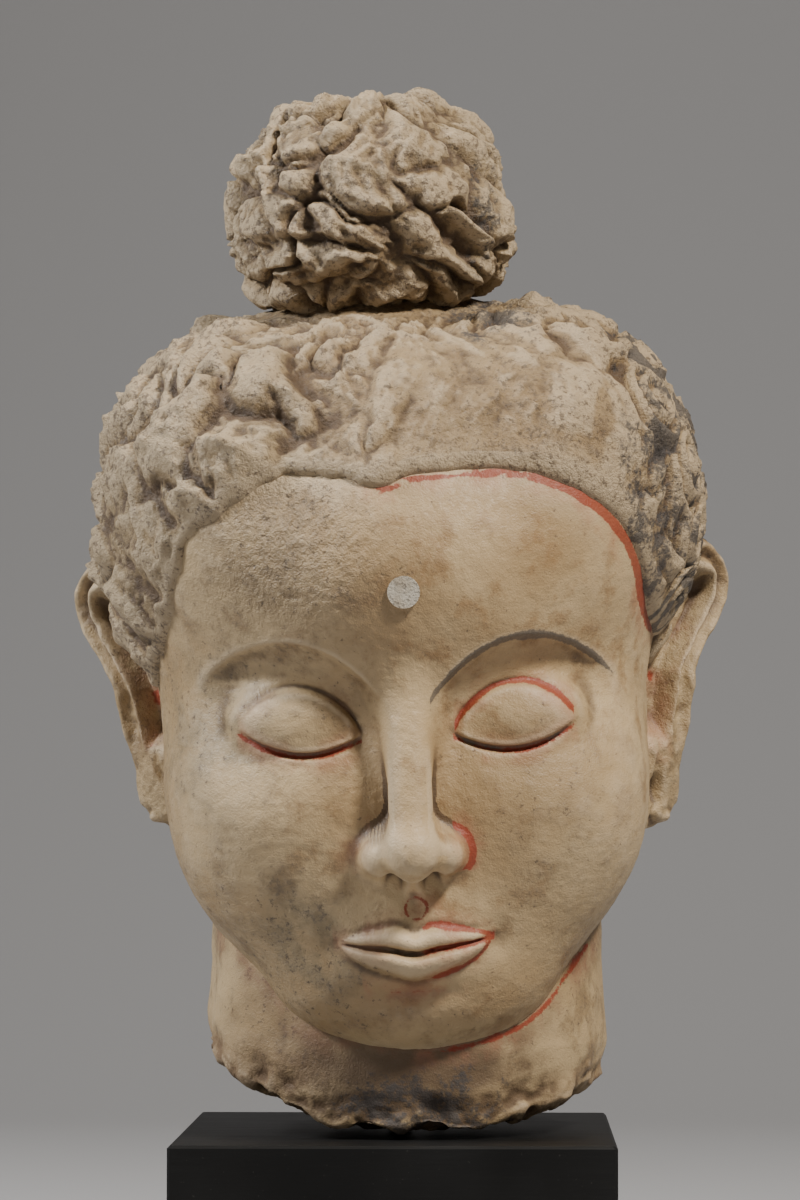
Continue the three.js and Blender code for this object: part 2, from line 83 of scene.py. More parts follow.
def noise(p, cell, seed=0):
    """Value noise from -1 to 1: hashed numbers at the corners of cubic cells, blended by quintic steps."""
    turned = p @ np.array([[0.80, 0.36, -0.48], [-0.60, 0.48, -0.64], [0.0, 0.80, 0.60]])
    q = turned / cell + seed * 17.3
    low = np.floor(q)
    f = q - low
    f = f * f * f * (f * (f * 6 - 15) + 10)
    low = low.astype(np.int64)
    total = np.zeros(p.shape[:-1])
    for corner in range(8):
        step = np.array([corner & 1, corner >> 1 & 1, corner >> 2 & 1])
        n = ((low + step) * np.array([73856093, 19349663, 83492791])).sum(-1) ^ (seed * 668265263)
        n = ((n ^ (n >> 13)) * 1274126177) & 0x7FFFFFFF
        n = ((n ^ (n >> 15)) * 739978277) & 0x7FFFFFFF
        total += np.where(step, f, 1 - f).prod(-1) * (n / float(0x3FFFFFFF) - 1)
    return total


def layered(p, cell, layers, seed=0):
    """Sum of noises, each with half the cell and half the height of the one before."""
    return sum(noise(p, cell / 2**k, seed + k) / 2**k for k in range(layers))


def ridges(p, cell, layers, seed=0):
    """Sharp crests between broad troughs, 0 to 1: (1 - |noise|)^4 in layers of half the cell and height."""
    total = sum((1 - np.abs(noise(p, cell / 2**k, seed + k))) ** 4 / 2**k for k in range(layers))
    return total / (2 - 0.5 ** (layers - 1))


def dice(i, j, k):
    """Number from 0 to 1 for whole numbers: the fraction of a large multiple of a sine."""
    t = np.sin(i * 127.1 + j * 311.7 + k * 74.7) * 43758.5453
    return t - np.floor(t)


def clumps(u, v, around, seed):
    """Cells about one scattered point to each unit square, u closing on itself after around of them.
    Gives the gap between nearest and second point, the place (du, dv) in the cell and the cell's number."""
    first, second = np.full(u.shape, 9.0), np.full(u.shape, 9.0)
    du, dv, number = np.zeros(u.shape), np.zeros(u.shape), np.zeros(u.shape)
    for a in (-1, 0, 1):
        for b in (-1, 0, 1):
            i, j = np.floor(u) + a, np.floor(v) + b
            w = np.mod(i, around)
            x = u - i - 0.15 - 0.7 * dice(w, j, seed)
            y = v - j - 0.15 - 0.7 * dice(w, j, seed + 1)
            gap = np.hypot(x, y)
            second = np.where(gap < first, first, np.minimum(second, gap))
            near = gap < first
            du, dv = np.where(near, x, du), np.where(near, y, dv)
            number = np.where(near, dice(w, j, seed + 2), number)
            first = np.where(near, gap, first)
    return second - first, du, dv, number


def locks(u, v, around, seed):
    """Comma-shaped locks, 0 to about 1: each cell rises from its border like a roof and climbs towards one
    end, so that locks lie over each other. Also gives the strands that bend within a lock."""
    gap, du, dv, number = clumps(u, v, around, seed)
    t = np.clip(gap / 0.85, 0, 1)
    climb = 0.74 + (0.70 * np.sign(number - 0.3) + 0.4 * du) * dv + 0.6 * (number - 0.5)
    bend = du + 1.3 * (number - 0.5) * dv**2 + 0.35 * dv
    return t * (1.75 - 0.75 * t) * climb, np.cos(2 * np.pi * bend * 4.2) * np.minimum(1, gap * 2)


# ---- implicit forms: a negative value is inside ----

def soft_join(a, b, k):
    """Union of two distances with a fillet of about k: b + (a - b) h - k h (1 - h)."""
    h = np.clip(0.5 + 0.5 * (b - a) / k, 0, 1)
    return b * (1 - h) + a * h - k * h * (1 - h)


def soft_cut(a, b, k):
    """a less b, with a fillet of about k."""
    return -soft_join(-a, b, k)


def ellipsoid(p, centre, radii):
    """Distance to an ellipsoid, nearly: k0 (k0 - 1) / k1, with k0 and k1 the scaled lengths."""
    q = (p - np.array(centre, float)) / np.array(radii, float)
    k0 = np.sqrt((q**2).sum(-1))
    k1 = np.sqrt(((q / np.array(radii, float)) ** 2).sum(-1)) + 1e-9
    return k0 * (k0 - 1) / k1


def cone(p, a, b, ra, rb):
    """Distance to the line from a to b less a radius that runs from ra to rb."""
    a, b = np.array(a, float), np.array(b, float)
    t = np.clip(((p - a) @ (b - a)) / ((b - a) @ (b - a)), 0, 1)
    return np.sqrt(((p - a - t[..., None] * (b - a)) ** 2).sum(-1)) - (ra + (rb - ra) * t)


def mirrored(p):
    """The point with |x| for x, so that one side is written for both."""
    return np.stack([np.abs(p[..., 0]), p[..., 1], p[..., 2]], -1)


def skull(p):
    """Skull, cheeks, jaw and chin as one soft union of ellipsoids, less the hollows of the eyes."""
    m = mirrored(p)
    d = ellipsoid(m, (0, 8, 56), (118, 124, 100))
    d = soft_join(d, ellipsoid(m, (56, 4, 76), (64, 104, 76)), 14)
    d = soft_join(d, ellipsoid(m, (0, -12, -36), (106, 100, 118)), 30)
    d = soft_join(d, ellipsoid(m, (0, -30, 54), (92, 88, 66)), 20)
    d = soft_join(d, ellipsoid(m, (0, -72, -117), (56, 41, 37)), 34)
    d = soft_join(d, ellipsoid(m, (0, -72, -90), (52, 42, 38)), 24)
    d = soft_join(d, ellipsoid(m, (50, -62, -48), (48, 48, 54)), 26)
    return soft_cut(d, ellipsoid(m, (46, -146, -2), (44, 33, 30)), 14)


def features(p):
    """The skull with the nose and the eyeballs joined on and the nostrils cut out."""
    m = mirrored(p)
    nose = cone(m, (0, -103, 18), (0, -130, -50), 10, 9)
    nose = soft_join(nose, ellipsoid(m, (0, -131, -55), (11.5, 13, 10.5)), 8)
    nose = soft_join(nose, ellipsoid(m, (13.5, -118, -58), (8, 13, 8.5)), 6)
    nose = soft_join(nose, cone(m, (0, -130, -62), (0, -112, -68), 4.5, 5), 5)
    d = soft_join(skull(p), nose, 8)
    d = soft_cut(d, ellipsoid(m, (7.6, -120, -69), (4.2, 7.5, 6.0)), 2.5)
    return soft_join(d, ellipsoid(m, (EYE_X, -89, -5), (30, 22, 19.5)), 5)


def skin(direction, steps=20):
    """The points where rays from the core leave the skull: the stretch of each ray is halved steps times."""
    low, high = np.full(direction.shape[:-1], RAY_FROM), np.full(direction.shape[:-1], RAY_TO)
    for _ in range(steps):
        middle = 0.5 * (low + high)
        inside = skull(CORE + direction * middle[..., None]) < 0
        low, high = np.where(inside, middle, low), np.where(inside, high, middle)
    return CORE + direction * (0.5 * (low + high))[..., None]


def cast_outermost(direction, start, field, reach, slices=22):
    """The last crossing before reach: slices are tried from outside inwards, then the gap is halved."""
    inner = np.zeros(direction.shape[:-1])
    for k in range(slices + 1):
        inside = field(start + direction * (reach * k / slices)) < 0
        inner = np.where(inside, reach * k / slices, inner)
    outer = inner + reach / slices
    for _ in range(9):
        middle = 0.5 * (inner + outer)
        inside = field(start + direction * middle[..., None]) < 0
        inner, outer = np.where(inside, middle, inner), np.where(inside, outer, middle)
    return 0.5 * (inner + outer)


# ---- the drawn lines of the face, as heights over |x| ----

def slit_line(ax):
    """Lower edge of the upper lid: a shallow arch hanging from the corners of the eye."""
    s = (ax - EYE_X) / EYE_HALF
    return -8 - 8 * np.clip(1 - s * s, 0, 1) + 1.5 * s


def crease_line(ax):
    """Crease over the upper lid: an arch from corner to corner of the eye."""
    s = (ax - EYE_X) / EYE_HALF
    return -7.5 + 18 * np.clip(1 - s * s, 0, 1) ** 0.75 + 1.5 * s


def brow_line(ax):
    """Brow: a wide arch that is highest at |x| 50."""
    return 31 - 27 * np.abs((ax - 50) / 42) ** 2.1


def mouth_lines(ax):
    """Parting line of the lips with the upper and lower edge: flat arches that meet at the corners."""
    s = np.clip(ax / MOUTH_HALF, 0, 1)
    line = -97 - 2.0 * bell(ax, 0, 8) + 2.2 * s**3
    upper = line + 9.5 * (1 - s**2) ** 0.8 * (1 + 0.10 * bell(ax, 7, 5) - 0.16 * bell(ax, 0, 4)) + 0.4
    lower = line - 12.5 * (1 - s**2) ** 0.65 - 0.4
    return s, line, upper, lower


def face_relief(x, z):
    """Height towards the front of the step under the brow, lids, lips and creases."""
    ax = np.abs(x)
    arch = np.clip(1 - ((ax - EYE_X) / EYE_HALF) ** 2, 0, 1)
    slit, crease, below = slit_line(ax), crease_line(ax), brow_line(ax) - z
    wide = ramp(ax, 6, 22) * (1 - ramp(ax, 74, 96))
    d = -6.5 * (1 - np.exp(-np.clip(below, 0, 200) / 5)) * (1 - ramp(-z, -2, 46)) * wide
    d += 2.4 * ramp(z - slit, 0, 1) * (1 - ramp(z - crease, -3, 0.5)) * np.minimum(1, arch * 3)
    d -= 1.2 * (1 - ramp(np.abs(z - slit + 1.3), 0.6, 1.6)) * np.sqrt(arch)
    d += 1.6 * ramp(slit - z, 2, 3.2) * np.exp(-np.clip(slit - z - 3, 0, 60) / 7) * arch
    d -= 1.0 * bell(z - crease, 0.6, 1.5) * np.minimum(1, arch * 4)
    s, line, upper, lower = mouth_lines(ax)
    body = np.sqrt(np.clip(1 - s**2, 0, 1))
    up = np.clip((z - line) / (upper - line), 0, 1)
    down = np.clip((line - z) / (line - lower), 0, 1)
    upper_lip, lower_lip = 4.6 * np.sin(np.pi * up**0.8) ** 0.8, 6.2 * np.sin(np.pi * down**0.7) ** 0.8
    d += np.where(z > line, upper_lip, lower_lip) * body
    d -= 1.1 * bell(z - line, 0, 1.2) * (1 - ramp(ax, MOUTH_HALF - 2, MOUTH_HALF + 4))
    d -= 2.2 * bell(ax, MOUTH_HALF + 3.5, 6) * bell(z, -96, 8)
    d -= 3.0 * bell(x, 0, 20) * bell(z, -118, 6)
    return d - 1.5 * bell(x, 0, 3.8) * ramp(z, -91, -84) * (1 - ramp(z, -75, -70))


# ---- hair ----

def hair_region(p):
    """Millimetres inside the hairline: outside a rounded square on the brow, above a low edge at the nape."""
    x, y, z = p[..., 0], p[..., 1], p[..., 2]
    half = 102 + 3 * np.sign(x) + 8 * (1 - ramp(z, 0, 42))
    top = 97 - 5 * bell(x, -10, 11) + 3 * bell(x, -42, 22) + 2 * bell(x, 46, 30)
    front = ((np.abs(x) / half) ** 3.3 + (np.maximum(z - 2, 0) / top) ** 3.3) ** (1 / 3.3) - 1
    return np.minimum(np.where(y < 0, front * 98, 60), z - 3 + 78 * ramp(y, 2, 62))


CURLS = np.array([(112, -30, 84), (113, -22, 56), (103, -44, 112), (116, 2, 100), (118, 4, 70), (117, 12, 38),
                  (106, -12, 128), (112, -24, 30)], float)


def temple_curls(p):
    """Round-ridged curls on the right temple: how far a point belongs to them, their ridges, -1 to 1, and
    the distance to the nearest curl's middle."""
    gap = np.sqrt(((p[..., None, :] - CURLS) ** 2).sum(-1))
    near, which = gap.min(-1), gap.argmin(-1)
    on = (1 - ramp(near + 3 * noise(p, 9, 2), 18, 24)) * ramp(p[..., 0] + 5 * noise(p, 12, 9), 84, 96)
    return on, np.cos(2 * np.pi * (near + 0.8 * layered(p, 10, 2, 12)) / 6.6 + which * 1.7), near


def hair_relief(p):
    """Height of the hair over its even thickness: locks that run from the bun to the hairline in S-waves,
    with sharp slanting crests, worn almost plain over the middle and right of the brow, round-ridged curls
    on the right temple, eroded. Where the bun stands it is even."""
    x, y, z = p[..., 0], p[..., 1] - 14, p[..., 2]
    a = np.arctan2(x, -y)
    along = np.arctan2(np.hypot(x, y), z - 30) * 120 + 5 * np.sin(7 * a + 0.4)
    a = a + 0.05 * np.sin(along / 11 + 2 * np.sin(3 * a))
    u = a * 30 / (2 * np.pi) + 0.3 * np.sin(along / 8.5 + 1.5 * np.sin(2 * a))
    u = u + 0.3 * np.sin(5 * a + along / 19)
    v = along / 27 + 0.22 * np.sin(a * 9) + 0.2 * np.sin(a * 4 + 1)
    ragged = 0.22 * layered(p, 16, 3, 18)
    dome, strands = locks(u + ragged, v - ragged, 30, 11)
    worn = ramp(a, -0.26, 0.06) * (1 - ramp(a, 0.74, 0.92)) * (1 - ramp(z, 138, 150))
    slanted = np.stack([x + 0.55 * z, y, 0.6 * z], -1)
    crests = 8.0 * ridges(slanted, 25, 3, 19) * (0.75 + 0.45 * noise(p, 34, 20))
    from_bun = np.hypot(p[..., 0] - BUN_AT[0], p[..., 1] - BUN_AT[1])
    big = 9.5 * dome * (1 - 0.3 * ramp(p[..., 1], 10, 60)) * ramp(from_bun, 44, 74)
    on, arcs, near = temple_curls(p)
    curl = 1.5 + 3.4 * (1 - (near / 20) ** 2) + 2.5 * arcs
    rough = 1.5 * layered(p, 13, 4, 3) + 0.5 * noise(p, 2.4, 8)
    chips = -3.0 * np.clip(noise(p, 8, 14) - 0.5, 0, 1) * (1 - ramp(x, 20, 60))
    plain = (big + crests) * (1 - 0.80 * worn) - 5 * (1 - worn) + 0.45 * strands * (1 - 0.5 * worn)
    total = plain * (1 - on) + curl * on + rough * (1 - 0.45 * worn) * (1 - 0.7 * on) + chips * (1 - worn)
    return 2 + (total - 2) * ramp(from_bun, 30, 58)


TURN = np.array((Matrix.Rotation(math.radians(YAW), 3, "Z") @ Matrix.Rotation(math.radians(ROLL), 3, "Y")
                 @ Matrix.Rotation(math.radians(PITCH), 3, "X")))


def place(p):
    """From the head's frame in millimetres to the object's frame in metres."""
    return (p @ TURN.T + np.array(HEAD_AT)) / 1000


def unplace(p):
    """From the object's frame to the head's, both in millimetres."""
    return (p - np.array(HEAD_AT)) @ TURN


def hollows(p, wide=4):
    """How far each point of a grid lies below the mean of the ring of points round it, in millimetres."""
    around = np.zeros_like(p)
    normal = np.cross(np.gradient(p, axis=0), np.roll(p, -1, 1) - np.roll(p, 1, 1))
    normal /= np.linalg.norm(normal, axis=-1, keepdims=True) + 1e-9
    padded = np.pad(p, ((wide, wide), (0, 0), (0, 0)), mode="edge")
    slant = round(0.7 * wide)
    for rows, cols in ((-wide, 0), (wide, 0), (0, -wide), (0, wide), (-slant, -slant), (slant, slant),
                       (-slant, slant), (slant, -slant)):
        around += np.roll(padded, cols, 1)[wide + rows:wide + rows + len(p)]
    return ((around / 8 - p) * normal).sum(-1)


def lock_hollows(p):
    """Hollows between the strands and, wider, between the locks, for the painted shade in them."""
    return 0.6 * hollows(p, 3) + 0.5 * hollows(p, 9)


def shell(name, rings, marks, finish, node, end=None):
    """Closed mesh from rings of points (rows, columns, 3) in metres with a pole at each end.
    marks holds numbers for each point, kept as attributes for the finish to read; one left out is 0."""
    rows, cols = rings.shape[:2]
    end = rings[-1].mean(0) if end is None else end
    points = np.vstack([rings[0].mean(0), rings.reshape(-1, 3), end])
    i, j = np.meshgrid(np.arange(rows - 1), np.arange(cols), indexing="ij")
    a = 1 + i * cols + j
    b = 1 + i * cols + (j + 1) % cols
    quads = np.stack([a, a + cols, b + cols, b], -1).reshape(-1, 4)
    ring = np.arange(cols)
    nearer = np.stack([np.zeros(cols, int), 1 + ring, 1 + (ring + 1) % cols], -1)
    base = 1 + (rows - 1) * cols
    farther = np.stack([np.full(cols, len(points) - 1), base + (ring + 1) % cols, base + ring], -1)
    mesh = bpy.data.meshes.new(name)
    mesh.from_pydata(points, [], quads.tolist() + nearer.tolist() + farther.tolist())
    mesh.polygons.foreach_set("use_smooth", np.ones(len(mesh.polygons), bool))
    for key in MARKS:
        value = np.broadcast_to(marks.get(key, 0.0), (rows, cols))
        data = np.concatenate([[value[0].mean()], value.reshape(-1), [value[-1].mean()]]).astype(np.float32)
        mesh.attributes.new(key, "FLOAT", "POINT").data.foreach_set("value", data)
    mesh.materials.append(finish)
    piece = bpy.data.objects.new(name, mesh)
    bpy.context.collection.objects.link(piece)
    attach(piece, "root")
    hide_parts(node)
    return piece


def nearness(gap, wide=8.0):
    """1 on a line, falling to 0 at wide millimetres from it."""
    return np.clip(1 - np.abs(gap) / wide, 0, 1)


# ---- the pieces of the head ----

def face_rings(rows, cols):
    """Head surface under the hair: rays from the core by angle, closer together over the face, then the
    relief of lids and lips pushed out to the front and a fine unevenness of worked plaster."""
    u = 2 * np.pi * np.arange(cols) / cols
    theta = u - 0.72 * np.sin(u)
    fine = np.linspace(0, np.pi, 2000)
    weight = 0.35 + 1.6 * ramp(fine, 0.7, 1.2) * (1 - ramp(fine, 2.45, 2.65))
    total = np.concatenate([[0], np.cumsum(0.5 * (weight[1:] + weight[:-1]))])
    phi = np.interp(np.linspace(0, total[-1], rows + 2)[1:-1], total, fine)
    t, f = np.meshgrid(theta, phi)
    d = np.stack([np.sin(f) * np.sin(t), -np.sin(f) * np.cos(t), np.cos(f)], -1)
    p = skin(d)
    front = (p[..., 1] < -40) & (np.abs(p[..., 0]) < 90) & (p[..., 2] > -92) & (p[..., 2] < 48)
    reach = cast_outermost(d[front], p[front], features, 42)
    p[front] += d[front] * reach[:, None]
    x, y, z = p[..., 0], p[..., 1], p[..., 2]
    facing = ramp(-y, 40, 80)
    p[..., 1] -= face_relief(x, z) * facing
    sandy = bell(x, -48, 34) * ramp(z, 32, 52) * (1 - ramp(z, 96, 104)) * facing
    pits = np.clip(noise(p, 2.6, 5) - 0.35, 0, 1)
    lift = 0.5 * layered(p, 26, 3, 1) + 0.16 * noise(p, 2.2, 4)
    lift -= sandy * (1.1 * pits + 0.5 * np.abs(noise(p, 5, 6)))
    lift -= 0.7 * np.clip(noise(p, 3.4, 7) - 0.62, 0, 1) * ramp(-x, -20, 40)
    p += d * lift[..., None]
    return p, sandy, facing


def face_marks(p, sandy, facing):
    """Painted lines and stains of the face as numbers from 0 to 1, from the distance to its drawn lines, and
    painted shade in the hollows and along the eyes' slits.
    """
    x, z = p[..., 0], p[..., 2]
    ax, right = np.abs(x), ramp(x, -4, 6)
    eye = (np.abs(ax - EYE_X) < EYE_HALF) * facing
    slope = np.hypot(1, 0.9 * np.abs(ax - EYE_X) / EYE_HALF)
    lid = nearness((z - crease_line(ax)) / slope) * eye * (0.35 + 0.65 * right)
    slit = nearness((z - slit_line(ax) + 2.0) / slope) * eye
    _, line, upper, lower = mouth_lines(ax)
    on_mouth = (ax < MOUTH_HALF + 2) * facing
    lips = np.maximum(nearness(z - upper), nearness(z - line)) * on_mouth * (0.55 + 0.45 * right)
    lips = np.maximum(lips, nearness(z - lower) * on_mouth * ramp(x, -2, 10))
    under = nearness(z + 117 - 0.004 * ax**2) * (ax < 22) * facing * 0.8
    wing = nearness(np.hypot(ax - 13.5, z + 58) - 12) * (ax > 17) * (z > -66) * facing
    wing = wing * (0.45 + 0.55 * right)
    ring = nearness(np.hypot(x - 1, z + 81) - 4.5) * facing
    edge = 1.08 * nearness(-hair_region(p) - 1.4) * (hair_region(p) < 1.5) * ramp(x, -22, -8) * ramp(z, 8, 24)
    red = np.maximum.reduce([lid, slit * 0.9, lips, under, wing * (facing > 0.9), ring * 0.9, edge])
    grey = nearness((z - brow_line(ax) + 0.5) / 1.3) * (ax > 9) * (ax < 90) * facing * (0.45 + 0.55 * right)
    # Painted shadow along the eyes' slits, drawn with the grey of the brows.
    dark = nearness((z - slit_line(ax) + 1.2) / slope) * (np.abs(ax - EYE_X) < EYE_HALF * 0.86) * facing
    # Grey-brown dust in patches at the left mouth corner, left cheek and brow and sandy patch, a stain on the
    # right cheek, and darker over the left half and at the chin's lower edge.
    dust_and_shade = bell(x, -42, 26) * bell(z, -96, 26) + 0.6 * bell(x, -86, 26) * bell(z, -20, 50) + 0.4 * sandy
    dust_and_shade += 0.5 * bell(x, -50, 34) * bell(z, 6, 26) + 0.3 * ramp(-x, -10, 60)
    dust_and_shade += 0.5 * bell(z, -150, 22) * bell(x, 0, 60) + 0.55 * bell(x, 62, 34) * bell(z, -52, 44)
    # grey also holds the painted slit shadow; hollow sets the painted shade in the face's hollows.
    return {"red": red, "grey": np.maximum(grey, dark * 0.93), "dust_and_shade": np.clip(dust_and_shade, 0, 1), "sandy": sandy,
            "hollow": hollows(p)}


def cap_direction(beta, sigma):
    """Unit direction at azimuth beta round the hair cap's axis and angle sigma from it."""
    x, f, u = np.sin(sigma) * np.sin(beta), np.sin(sigma) * np.cos(beta), np.cos(sigma)
    c, s = math.cos(CAP_LEAN), math.sin(CAP_LEAN)
    return np.stack([x, -f * c + u * s, f * s + u * c], -1)


def hair_rings(rows, cols):
    """Hair cap: for each azimuth the hairline's angle is searched for, rings run up to it, closer together
    towards it, and the thickness there ends in a small quarter round. A last ring goes into the head."""
    u = 2 * np.pi * np.arange(cols) / cols
    beta = u - 0.5 * np.sin(u)
    tries = np.linspace(0.9, 2.1, 400)
    b, s = np.meshgrid(beta, tries)
    d = cap_direction(b, s)
    edge = tries[(hair_region(skin(d, 14)) < 0).argmax(0)]
    edge = (edge + np.roll(edge, 1) + np.roll(edge, -1)) / 3
    rim = CORE + cap_direction(beta, edge) * HEAD_RADIUS
    left = ramp(-rim[:, 0], 4, 30)
    edge = edge + (0.020 * noise(rim, 15, 51) + 0.014 * noise(rim, 6, 52)) * (0.15 + left)
    share = 1 - (1 - np.arange(1, rows + 1) / rows) ** 1.15
    sigma = edge * share[:, None]
    d = cap_direction(np.broadcast_to(beta, sigma.shape), sigma)
    p = skin(d)
    inside = (edge - sigma) * HEAD_RADIUS
    step = np.sqrt(1 - (1 - np.clip(inside / HAIR_STEP, 0, 1)) ** 2)
    lift = HAIR_THICK * (0.5 * step + 0.5 * ramp(inside, 2, HAIR_SWELL))
    lift = lift + hair_relief(p) * ramp(inside, 0, 16 - 8 * left)
    lift = np.maximum(lift, -1.0)
    return np.concatenate([p + d * lift[..., None], p[-1:] - d[-1:] * 9])


def hair_marks(p):
    """Dark pigment on the right temple and under the bun's right, dust on the left, and the depth of the
    hollows between the locks for painted shade.
    """
    x, y, z = p[..., 0], p[..., 1], p[..., 2]
    drift = 9 * layered(p, 22, 2, 64)
    on, arcs, _ = temple_curls(p)
    grooves = 0.50 * (1 - on) + (0.60 - 0.45 * arcs) * on + 0.18 * noise(p, 17, 67)
    pigment_and_shadow = grooves * ramp(x + drift, 84, 100) * ramp(z, 2, 30) * (1 - ramp(y + drift, 16, 50))
    by_bun = bell(x + drift, 44, 34) * ramp(z + drift, 146, 158) * (1 - ramp(y, 20, 60))
    pigment_and_shadow = np.maximum(pigment_and_shadow, 0.58 * by_bun)
    return {"dust_and_shade": 0.5 * ramp(-x, 0, 60), "hair": 1.0, "hollow": lock_hollows(p), "pigment_and_shadow": pigment_and_shadow}


def bun_rings(rows, cols):
    """Bun: a squarish ball r = (sin^n + |cos|^n)^(-1/n) flattened below, wound with thick twisted locks,
    eroded, with deep cracks between them on the left."""
    theta = 2 * np.pi * np.arange(cols) / cols
    phi = np.pi * np.arange(1, rows + 1) / (rows + 1)
    t, f = np.meshgrid(theta, phi)
    s = np.stack([np.sin(f) * np.sin(t), -np.sin(f) * np.cos(t), np.cos(f)], -1)
    square = (np.sin(f) ** 2.5 + np.abs(s[..., 2]) ** 2.5) ** (-1 / 2.5)
    u = t * 13 / (2 * np.pi) + 1.1 * s[..., 2] + 0.35 * np.sin(2 * t + 5 * s[..., 2])
    v = f * 2.0 + 0.28 * np.sin(3 * t + 1) + 0.20 * np.sin(5 * t + 3 * f)
    ragged = 0.22 * layered(s * 58, 18, 3, 28)
    dome, strands = locks(u + ragged, v - ragged, 13, 27)
    calm = ramp(np.sin(f), 0, 0.55)
    size = np.where(s[..., 2:] < 0, BUN_HALF * np.array([1, 1, BUN_BASE]), BUN_HALF)
    p = BUN_AT + size * (square[..., None] * s) * 0.9
    left = ramp(-p[..., 0], -4, 30)
    cracks = -5.0 * left * bell(noise(p, 20, 61), 0.0, 0.07) * calm
    rough = 1.8 * layered(p, 15, 4, 21) + 0.5 * noise(p, 2.6, 25)
    slanted = np.stack([58 * s[..., 0] + 30 * s[..., 2], 58 * s[..., 1], 38 * s[..., 2]], -1)
    crests = 9.0 * ridges(slanted, 26, 3, 29) * (0.75 + 0.45 * noise(s * 58, 34, 30))
    lift = (8.5 * dome + crests) * calm + 0.45 * strands * calm + cracks + rough - 1.5
    lift = soft_join(lift, 9.0, 2.0)
    return p + s * lift[..., None]


def bun_marks(p):
    """Dust all over, a little pigment on the bun's right, and the depth of the hollows between the locks for
    painted shade.
    """
    return {"dust_and_shade": 0.5, "hair": 1.0, "hollow": lock_hollows(p),
            "pigment_and_shadow": 0.45 * ramp(p[..., 0], 20, 44) * ramp(-p[..., 1], -20, 10)}


def ear_rings(side, rings, cols):
    """Long ear: a leaf of half-breadth h(v) about a leaning middle line, its front face raised at the rim
    and hollowed inside, its back rounded, swung out from the side of the head."""
    share = np.sin(0.5 * np.pi * np.arange(1, rings + 1) / rings)
    r = np.concatenate([share, share[-2::-1]])
    face = np.concatenate([np.ones(rings, bool), np.zeros(rings - 1, bool)])
    a = side * 2 * np.pi * np.arange(cols) / cols
    u, v = r[:, None] * np.cos(a), r[:, None] * np.sin(a)
    r, face = np.broadcast_to(r[:, None], u.shape), np.broadcast_to(face[:, None], u.shape)
    half = 18 + 30 * ramp(v, -0.05, 0.7) + 18 * ramp(-v, 0.55, 1)
    b = 13 + 3 * v + half * u
    edge = np.sqrt(np.maximum(0, 1 - r**6))
    inset = np.minimum(half * (np.sqrt(np.maximum(0, 1 - v**2)) - u),
                       62 * (np.sqrt(np.maximum(0, 1 - u**2)) - v))
    inset = inset + 1.6 * noise(np.stack([u, v, v], -1) * 50, 16, 74)
    upper = ramp(v, -0.55, -0.25)
    concha = 10.5 * ramp(inset, 13, 18) * ramp(v, -0.46, -0.26) * (1 - ramp(v, 0.52, 0.74))
    groove = 3.4 * bell(inset, 8.8, 3.0) * upper
    rim = 1.6 * bell(inset, 3, 3) * upper + 1.0 * bell(inset, 14.0, 3.4) * upper
    lobe = 6.5 * bell(u + 0.5 * v + 0.46, 0.0, 0.10) * bell(v, -0.74, 0.09) * (side > 0) \
        + 2.4 * bell(u, -0.22, 0.12) * bell(v, -0.62, 0.16)
    broken = 3.5 * ramp(-v, 0.80, 0.98) * noise(np.stack([u, v, v], -1) * 60, 7, 72)
    t = np.where(face, 6 * edge + rim - groove - concha - lobe, -6 * edge - 0.55 * concha) + broken
    sine, cosine = math.sin(EAR_SWING), math.cos(EAR_SWING)
    x = side * (109.5 + 1.5 * side - 4 * (1 - v) ** 1.5 + b * sine + t * cosine)
    y = 2 + 3 * v + b * cosine - t * sine
    p = np.stack([x, y, -3 + np.where(v < 0, 66 + 4 * side, 62) * v], -1)
    out = np.where(face, 1.0, -1.0)[..., None] * np.array([side * cosine, -sine, 0])
    p += out * (0.9 * layered(p, 11, 3, 31) + 0.3 * noise(p, 2.5, 35))[..., None]
    pink = face * ramp(inset, 11, 18) * ramp(v, -0.7, -0.4) * (1 - ramp(v, 0.1, 0.6))
    # Dust all over the ear, deepening into its upper hollow as painted shade; hollow sets painted shade in
    # its folds.
    marks = {"red": pink * (0.62 + 0.35 * noise(p, 8, 73)), "hair": 0.35,
             "dust_and_shade": 0.3 + 0.7 * ramp(inset, 10, 18) * upper, "hollow": hollows(p)}
    return p, marks


def break_height(x, y):
    """Height of the break over its lowest point: it climbs to the left, steeply at the right, and back."""
    left = 30 * (np.maximum(0, -17 - x) / 69) ** 1.5
    right = 13 * (np.maximum(0, x + 17) / 99) ** 4
    rough = 1.6 * np.sin(x / 9 + 1) * np.sin(y / 11) + 1.1 * np.sin(x / 4.7 - y / 6)
    return np.maximum(0, left + right + 22 * ramp(y, 0, 80) + rough + 1.6)


